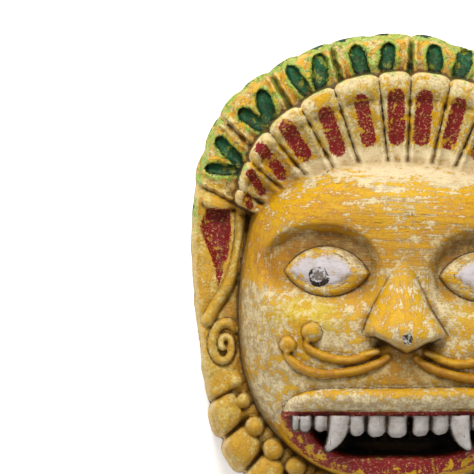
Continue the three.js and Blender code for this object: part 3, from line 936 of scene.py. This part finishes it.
lemon = np.clip(0.62 * bump(side - 52, y + 12, 30, 14) + 0.4 * bump(side - 30, y + 45, 40, 12), 0, 1)
marks = {
    "red_distance": red_distance(x, y),
    "green_distance": green_distance(x, y, angle, r) + 9 * ease(on_wall, 0.2, 1),
    "lime_distance": lime_distance(x, y, angle, r) + 5 * ease(38 - z, 0, 9),
    "white_distance": almond(side, y, *white),
    "line_distance": lid_lines,
    "pupil_distance": pupil,
    "gold_cover": gold_cover(x, y, angle, r),
    "ochre": ochre,
    "painted_shade": np.clip(painted_shade, 0, 1),
    "tooth": on_tooth.astype(float),
    # cavity: where the mouth is painted near black as painted shade
    "cavity": np.where(on_tooth, 0, cavity_share(u, v)) * (np.abs(x) < 70),
    "crease": np.clip(at_points(fine_crease, x, y), -3, 3) * (1 - on_wall),
    "broad_crease": np.clip(at_points(broad_crease, x, y), -4, 4) * (1 - on_wall),
    "upright_strokes": ease(side, 62, 80) * (1 - ease(y, 20, 45)) + bump(x, y + 8, 26, 24),
    "lemon": lemon * (1 - beyond)
    + beyond * np.where(in_petals, 0.55, 0.5) + 0.2 * (1 - beyond) * ease(30 - y, 0, 20),
    "behind": behind,
    "chip_distance": chip,
    "iris_distance": iris,
    "red_wear": red_wear(x, y),
    # pale: cream on the petal rims, and on the top of the forehead worn paint with a painted highlight
    "pale": np.where(in_petals & (beyond > 0.5), 0.22 + 0.45 * ease(r - petal_edge(angle), -9, -3), 0)
    + 0.66 * ease(y, 50, 68) * (1 - beyond) * (1 - 0.6 * ease(side, 40, 70)),
    "scratched": np.clip(scratched, 0, 1),
    "crackled": beyond * (0.35 + 0.65 * (np.abs(angle) < leaves_end)) * (1 - 0.6 * in_petals),
    "loose_strokes": 0.9 * beyond + 0.65 * (1 - beyond) * ease(-y, -6, 10) * (1 - bump(x, y + 8, 24, 26)),
    "tooth_side": teeth_side(u, v),
}
for name, values in marks.items():
    mark = block.data.attributes.new(name, "FLOAT", "POINT")
    mark.data.foreach_set("value", np.asarray(values, np.float32))
print("marks:", ", ".join(marks))

# %% [markdown]
# ## Building nodes by name
#
# A material is a tree of nodes. These helpers add one node, fill or link its inputs, and give back
# its first output, so that a recipe reads from top to bottom.

# %% Helpers for nodes


def add(tree, kind, options, inputs, output=0):
    made = tree.nodes.new(kind)
    for name, value in options.items():
        setattr(made, name, value)
    for key, value in inputs.items():
        if isinstance(value, bpy.types.NodeSocket):
            tree.links.new(value, made.inputs[key])
        else:
            made.inputs[key].default_value = value
    return made.outputs[output]


def calc(tree, operation, a, b=0.0, c=0.0):
    return add(tree, "ShaderNodeMath", {"operation": operation}, {0: a, 1: b, 2: c})


def blend(tree, share, a, b, how="MIX"):
    options = {"data_type": "RGBA", "blend_type": how}
    return add(tree, "ShaderNodeMix", options, {0: share, 6: a, 7: b}, 2)


def step(tree, value, start, end):
    options = {"interpolation_type": "SMOOTHSTEP"}
    return add(tree, "ShaderNodeMapRange", options, {"Value": value, "From Min": start, "From Max": end})


def noise(tree, vector, scale, detail=3.0, rough=0.55):
    inputs = {"Vector": vector, "Scale": scale, "Detail": detail, "Roughness": rough}
    return add(tree, "ShaderNodeTexNoise", {}, inputs)


def mark(tree, name):
    return add(tree, "ShaderNodeAttribute", {"attribute_name": name}, {}, 2)


def paint(red, green, blue):
    """A colour as a painter reads it, 0 to 255, turned into light."""
    channels = [c / 255 for c in (red, green, blue)]
    return [c / 12.92 if c < 0.04045 else ((c + 0.055) / 1.055) ** 2.4 for c in channels] + [1]


def new_group(name, inputs, outputs):
    group = bpy.data.node_groups.new(name, "ShaderNodeTree")
    for label, kind in inputs.items():
        group.interface.new_socket(label, in_out="INPUT", socket_type="NodeSocket" + kind)
    for label, kind in outputs.items():
        group.interface.new_socket(label, in_out="OUTPUT", socket_type="NodeSocket" + kind)
    return group, group.nodes.new("NodeGroupInput").outputs, group.nodes.new("NodeGroupOutput").inputs


def use(tree, group, inputs, output=0):
    made = tree.nodes.new("ShaderNodeGroup")
    made.node_tree = group
    for key, value in inputs.items():
        if isinstance(value, bpy.types.NodeSocket):
            tree.links.new(value, made.inputs[key])
        else:
            made.inputs[key].default_value = value
    return made.outputs[output]


# %% [markdown]
# Brush strokes are noise stretched along the stroke. The group mixes strokes that lie across the
# mask with upright ones, so one number turns them.

# %% Brush strokes
strokes_group, given, result = new_group(
    "brush_strokes", {"Position": "Vector", "Upright": "Float", "Loose": "Float", "Fineness": "Float"},
    {"Value": "Float"})
spread = add(strokes_group, "ShaderNodeVectorMath", {"operation": "SCALE"},
             {0: given["Position"], "Scale": given["Fineness"]})
flat = add(strokes_group, "ShaderNodeMapping", {},
           {"Vector": spread, "Rotation": (0, 0, 0.06), "Scale": (0.07, 1, 0.5)})
tall = add(strokes_group, "ShaderNodeMapping", {},
           {"Vector": spread, "Rotation": (0, 0, -0.08), "Scale": (1, 0.07, 0.5)})
flat_noise = noise(strokes_group, flat, 1.0, 4.0, 0.6)
tall_noise = noise(strokes_group, tall, 1.0, 4.0, 0.6)
mixed = add(strokes_group, "ShaderNodeMix", {}, {0: given["Upright"], 2: flat_noise, 3: tall_noise})
dabs = noise(strokes_group, spread, 0.45, 4.0, 0.6)
mixed = add(strokes_group, "ShaderNodeMix", {}, {0: given["Loose"], 2: mixed, 3: dabs})
strokes_group.links.new(mixed, result["Value"])

# %% [markdown]
# Old paint ends in a ragged line and flakes off in spots. The group takes a distance in millimetres
# and two noises, moves the edge by them, and gives the share of paint that is left.

# %% Worn edge
worn_group, given, result = new_group(
    "worn_paint", {"Distance": "Float", "Edge noise": "Float", "Spot noise": "Float", "Raggedness": "Float",
                   "Flaking": "Float"}, {"Left": "Float"})
centred = calc(worn_group, "SUBTRACT", given["Edge noise"], 0.5)
shift = calc(worn_group, "MULTIPLY", centred, given["Raggedness"])
moved = calc(worn_group, "ADD", given["Distance"], shift)
kept = step(worn_group, moved, 0.25, -0.25)
spots = calc(worn_group, "ADD", given["Spot noise"], given["Flaking"])
whole = step(worn_group, spots, 0.66, 0.6)
worn_group.links.new(calc(worn_group, "MULTIPLY", kept, whole), result["Left"])

# %% [markdown]
# ## The painted wood
#
# From the wood up: a pale undercoat, gold paint in patches, then red, green and white, drawn lines,
# and brown grime with painted shade in the creases, under the brow and nose and in the mouth. The bump
# follows the brush strokes and the thickness of the paint.

# %% Painted wood
wood = bpy.data.materials.new("painted_wood")
wood.use_nodes = True
block.data.materials.clear()
block.data.materials.append(wood)
tree = wood.node_tree
shader = tree.nodes["Principled BSDF"]
coordinates = add(tree, "ShaderNodeTexCoord", {}, {}, 3)
position = add(tree, "ShaderNodeMapping", {}, {"Vector": coordinates, "Scale": (1 / mm, 1 / mm, 1 / mm)})
upright = mark(tree, "upright_strokes")
broad_noise = noise(tree, position, 0.05, 3.0)
patch_noise = noise(tree, position, 0.17, 5.0, 0.65)
spot_noise = noise(tree, position, 0.75, 4.0, 0.7)
grit_noise = noise(tree, position, 1.9, 3.0, 0.6)
loose = mark(tree, "loose_strokes")


def strokes_of(fineness, upright, loose):
    inputs = {"Position": position, "Upright": upright, "Loose": loose, "Fineness": fineness}
    return use(tree, strokes_group, inputs)


strokes_wide = strokes_of(0.42, upright, loose)
strokes_fine = strokes_of(1.3, upright, loose)
tall_lines = strokes_of(1.1, 1.0, 0.0)


def weighted(start, *pairs):
    """A value moved up and down by noises, each with its own weight."""
    total = start
    for source, weight in pairs:
        centred = calc(tree, "SUBTRACT", source, 0.5)
        total = calc(tree, "MULTIPLY_ADD", centred, weight, total)
    return total


def patches(start, end, value, *pairs):
    """Ragged patches: 0 where the moved value is at start, 1 where it is at end."""
    return step(tree, weighted(value, *pairs), start, end)


def tint(under, share, strength, over, how="MIX"):
    """A colour laid over another where a share says so."""
    return blend(tree, calc(tree, "MULTIPLY", share, strength), under, over, how)


def worn(distance, at_edge, in_spots, raggedness, flaking):
    """The share of paint that is left inside a distance."""
    inputs = {"Distance": distance, "Edge noise": at_edge, "Spot noise": in_spots,
              "Raggedness": raggedness, "Flaking": flaking}
    return use(tree, worn_group, inputs)


# %% Undercoat and gold
crease = mark(tree, "crease")
broad = mark(tree, "broad_crease")
cover = weighted(mark(tree, "gold_cover"), (broad_noise, 0.9), (patch_noise, 1.5), (strokes_wide, 1.5),
                 (spot_noise, 0.9), (strokes_fine, 0.7))
gold_left = patches(0.4, 0.6, cover, (grit_noise, 0.15))
cream = blend(tree, patches(0.25, 0.75, strokes_fine, (patch_noise, 1.3), (spot_noise, 0.9)),
              paint(214, 196, 150), paint(152, 132, 98))
rosy = patches(0.5, 0.75, patch_noise, (spot_noise, 0.7), (strokes_fine, 1.0))
cream = tint(cream, rosy, 0.7, paint(186, 152, 128))
lemon_left = patches(0.45, 0.8, mark(tree, "lemon"), (spot_noise, 1.6), (patch_noise, 2.0),
                     (strokes_fine, 0.8))
cream = tint(cream, lemon_left, 0.85, paint(206, 178, 0))
# Pale cream: worn paint on the petal rims, and on the top of the forehead worn paint that also serves as a
# painted highlight.
pale_and_highlight = patches(0.25, 0.8, mark(tree, "pale"), (patch_noise, 1.6), (spot_noise, 1.2))
cream = tint(cream, pale_and_highlight, 0.85, paint(222, 202, 160))
gold = blend(tree, patches(0.25, 0.75, strokes_wide, (patch_noise, 1.2), (spot_noise, 0.7)),
             paint(176, 116, 0), paint(212, 166, 2))
colour = blend(tree, gold_left, cream, gold)
ochre_share = mark(tree, "ochre")
dim = weighted(ochre_share, (patch_noise, 0.5))
colour = blend(tree, dim, colour, paint(242, 228, 112), "MULTIPLY")
deep_ochre = blend(tree, spot_noise, paint(168, 126, 22), paint(196, 164, 78))
colour = blend(tree, calc(tree, "MULTIPLY", step(tree, dim, 0.3, 0.9), 0.6), colour, deep_ochre)

pale_edge = patches(-0.5, -1.3, crease, (spot_noise, 1.4))
colour = tint(colour, pale_edge, 0.4, paint(220, 198, 140))

# %% Red, green and white
red_left = worn(mark(tree, "red_distance"), spot_noise, patch_noise, 5.0, mark(tree, "red_wear"))
red = blend(tree, strokes_fine, paint(104, 4, 10), paint(142, 12, 18))
specks = patches(0.63, 0.72, grit_noise, (strokes_fine, 1.2), (spot_noise, 0.8))
red = tint(red, specks, 0.8, paint(206, 176, 112))
colour = blend(tree, red_left, colour, red)
green_far = mark(tree, "green_distance")
pale_green_left = worn(mark(tree, "lime_distance"), patch_noise, spot_noise, 14.0, 0.06)
colour = blend(tree, calc(tree, "MULTIPLY", pale_green_left, 0.85), colour,
               blend(tree, spot_noise, paint(52, 122, 40), paint(160, 188, 52)))
green_left = worn(green_far, spot_noise, patch_noise, 4.0, 0.05)
green = blend(tree, patches(0.3, 0.7, spot_noise, (patch_noise, 1.0)), paint(0, 60, 28), paint(32, 106, 62))
colour = blend(tree, green_left, colour, green)
# Painted shade: a near-black band just inside the edge of each green gouge, in its crease.
green_edge = calc(tree, "SUBTRACT", calc(tree, "ABSOLUTE", calc(tree, "ADD", green_far, 0.8)), 0.5)
gouge_edge_shade = worn(green_edge, spot_noise, patch_noise, 2.5, 0.05)
colour = tint(colour, gouge_edge_shade, 0.75, paint(6, 34, 20))
white_left = worn(mark(tree, "white_distance"), spot_noise, patch_noise, 1.6, 0.0)
eye_white = blend(tree, patch_noise, paint(208, 202, 212), paint(172, 164, 158))
eye_stain = patches(-0.6, 1.4, mark(tree, "white_distance"), (spot_noise, 16.0), (patch_noise, 14.0))
eye_white = tint(eye_white, eye_stain, 0.8, paint(198, 150, 30))
colour = blend(tree, white_left, colour, eye_white)

# %% Lines, teeth and the painted shade of the mouth
line_left = worn(mark(tree, "line_distance"), patch_noise, patch_noise, 1.2, 0.05)
colour = tint(colour, line_left, 0.85, paint(58, 36, 14))
pupil_left = worn(mark(tree, "pupil_distance"), spot_noise, spot_noise, 1.8, 0.03)
iris_left = worn(mark(tree, "iris_distance"), spot_noise, spot_noise, 9.0, 0.02)
colour = tint(colour, iris_left, 0.8, paint(66, 54, 34))
colour = blend(tree, pupil_left, colour, paint(22, 20, 20))
chip_left = worn(mark(tree, "chip_distance"), spot_noise, patch_noise, 2.0, 0.0)
chipped = blend(tree, step(tree, spot_noise, 0.5, 0.56), paint(48, 42, 34), paint(206, 200, 190))
colour = blend(tree, chip_left, colour, chipped)
tooth = mark(tree, "tooth")
tooth_colour = blend(tree, patch_noise, paint(184, 178, 174), paint(152, 144, 136))
# Brown staining and painted shade darken the teeth in their creases, most at the gum.
stained_and_shaded = patches(0.0, 0.6, crease, (spot_noise, 1.5), (patch_noise, 1.0))
tooth_colour = tint(tooth_colour, stained_and_shaded, 0.7, paint(110, 92, 66))
split = patches(0.36, 0.28, tall_lines, (spot_noise, 0.5))
tooth_colour = tint(tooth_colour, split, 0.6, paint(70, 56, 44))
# Painted shade at the sides of each tooth, where the gaps between them are too narrow to carve.
between = patches(0.7, 1.0, mark(tree, "tooth_side"), (spot_noise, 0.35), (patch_noise, 0.3))
tooth_colour = tint(tooth_colour, between, 0.85, paint(52, 42, 34))
colour = blend(tree, step(tree, tooth, 0.4, 0.6), colour, tooth_colour)
# Painted shade: the deep floor of the mouth and the walls of its slot are painted near black.
cavity = mark(tree, "cavity")
colour = blend(tree, patches(0.1, 0.6, cavity, (patch_noise, 0.5)), colour, paint(12, 7, 6))

# %% Grime, painted shade and checks
# Painted shade in the sockets, under the nose and moustache and at the cheek edges, multiplied over the
# colour.
painted_shade_share = calc(tree, "MULTIPLY", mark(tree, "painted_shade"), 0.85)
colour = blend(tree, painted_shade_share, colour, paint(182, 150, 40), "MULTIPLY")
# Grime and painted shade: broad hollows are softly darkened and narrow creases more strongly, as brown
# grime and as the shade that falls in them.
soft_dirt_and_shade = patches(0.1, 3.0, broad, (patch_noise, 2.5))
colour = tint(colour, soft_dirt_and_shade, 0.55, paint(168, 138, 50), "MULTIPLY")
dirt_and_shade = patches(0.25, 1.5, crease, (spot_noise, 1.3), (patch_noise, 1.3))
colour = tint(colour, dirt_and_shade, 0.8, paint(92, 72, 26), "MULTIPLY")
scratch_zone = calc(tree, "MULTIPLY", mark(tree, "scratched"), -0.1)
check = step(tree, calc(tree, "ADD", weighted(strokes_fine, (grit_noise, 0.25)), scratch_zone), 0.33, 0.27)
colour = tint(colour, check, 0.55, paint(104, 72, 26))
bent = add(tree, "ShaderNodeVectorMath", {"operation": "MULTIPLY_ADD"},
           {0: add(tree, "ShaderNodeTexNoise", {}, {"Vector": position, "Scale": 0.3, "Detail": 3.0}, 1),
            1: (5, 5, 5), 2: position})
cell_edge = add(tree, "ShaderNodeTexVoronoi", {"feature": "DISTANCE_TO_EDGE"},
                {"Vector": bent, "Scale": 0.16})
crackle = patches(0.03, 0.0, cell_edge, (spot_noise, 0.25))
crackle = calc(tree, "MULTIPLY", crackle, mark(tree, "crackled"))
colour = tint(colour, crackle, 0.6, paint(84, 60, 22))
grime = patches(0.56, 0.72, grit_noise, (patch_noise, 1.0), (spot_noise, 0.5))
colour = tint(colour, grime, 0.4, paint(120, 86, 34))
behind_share = mark(tree, "behind")
bare_wood = blend(tree, strokes_wide, paint(112, 82, 50), paint(150, 116, 76))
colour = blend(tree, behind_share, colour, bare_wood)
tree.links.new(colour, shader.inputs["Base Color"])

# %% Gloss and bump
gloss = calc(tree, "MULTIPLY_ADD", gold_left, -0.12, calc(tree, "MULTIPLY_ADD", spot_noise, 0.3, 0.42))
gloss = calc(tree, "MAXIMUM", gloss, cavity)
tree.links.new(gloss, shader.inputs["Roughness"])
shader.inputs["Specular IOR Level"].default_value = 0.3
layers = calc(tree, "ADD", calc(tree, "MULTIPLY", gold_left, 0.12), calc(tree, "MULTIPLY", red_left, 0.12))
relief = weighted(layers, (strokes_fine, 0.5), (spot_noise, 0.5), (grit_noise, 0.16))
relief = calc(tree, "MULTIPLY_ADD", check, -0.3, relief)
relief = calc(tree, "MULTIPLY_ADD", crackle, -0.4, relief)
bump_node = tree.nodes.new("ShaderNodeBump")
bump_node.inputs["Strength"].default_value = 0.8
bump_node.inputs["Distance"].default_value = mm
tree.links.new(relief, bump_node.inputs["Height"])
tree.links.new(bump_node.outputs["Normal"], shader.inputs["Normal"])
print("painted wood has", len(tree.nodes), "nodes")
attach(block, "root")
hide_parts("mask")

# %% Floor, light and camera
bpy.ops.object.select_all(action="DESELECT")
bpy.ops.mesh.primitive_plane_add(size=6, location=(0, 0, low[2] - 0.0002))
floor = bpy.context.active_object
floor.name = "floor"
pale = bpy.data.materials.new("pale_floor")
pale.use_nodes = True
pale.node_tree.nodes["Principled BSDF"].inputs["Base Color"].default_value = (0.95, 0.95, 0.95, 1)
pale.node_tree.nodes["Principled BSDF"].inputs["Roughness"].default_value = 0.9
pale.node_tree.nodes["Principled BSDF"].inputs["Emission Color"].default_value = (1, 1, 1, 1)
pale.node_tree.nodes["Principled BSDF"].inputs["Emission Strength"].default_value = 0.3
floor.data.materials.append(pale)

world = bpy.data.worlds.new("studio")
bpy.context.scene.world = world
world.use_nodes = True
world.node_tree.nodes["Background"].inputs["Color"].default_value = (1, 1, 1, 1)
world.node_tree.nodes["Background"].inputs["Strength"].default_value = 0.66


def soft_light(name, place, size, power):
    lamp = bpy.data.lights.new(name, "AREA")
    lamp.shape = "DISK"
    lamp.size = size
    lamp.energy = power
    obj = bpy.data.objects.new(name, lamp)
    bpy.context.collection.objects.link(obj)
    obj.location = place
    obj.rotation_euler = (-Vector(place)).to_track_quat("-Z", "Y").to_euler()
    return obj


soft_light("key", (-0.3, 1.2, 1.2), 0.6, 29)

photo_scale = 0.5634 * mm
photo_pixels = 474
photo_middle = (-94.5 * mm, 28.5 * mm)
photo_roll = math.radians(2.01)
camera_height = 5.0
camera_data = bpy.data.cameras.new("camera")
camera = bpy.data.objects.new("camera", camera_data)
bpy.context.collection.objects.link(camera)
camera.location = (photo_middle[0], photo_middle[1], camera_height)
camera.rotation_euler = (0, 0, photo_roll)
camera_data.sensor_width = 36
camera_data.sensor_height = 36
camera_data.sensor_fit = "HORIZONTAL"
camera_data.lens = 36 * (camera_height - 50 * mm) / (photo_scale * photo_pixels)
camera_data.clip_end = 50
bpy.context.scene.camera = camera
bpy.context.scene.view_settings.view_transform = "Standard"
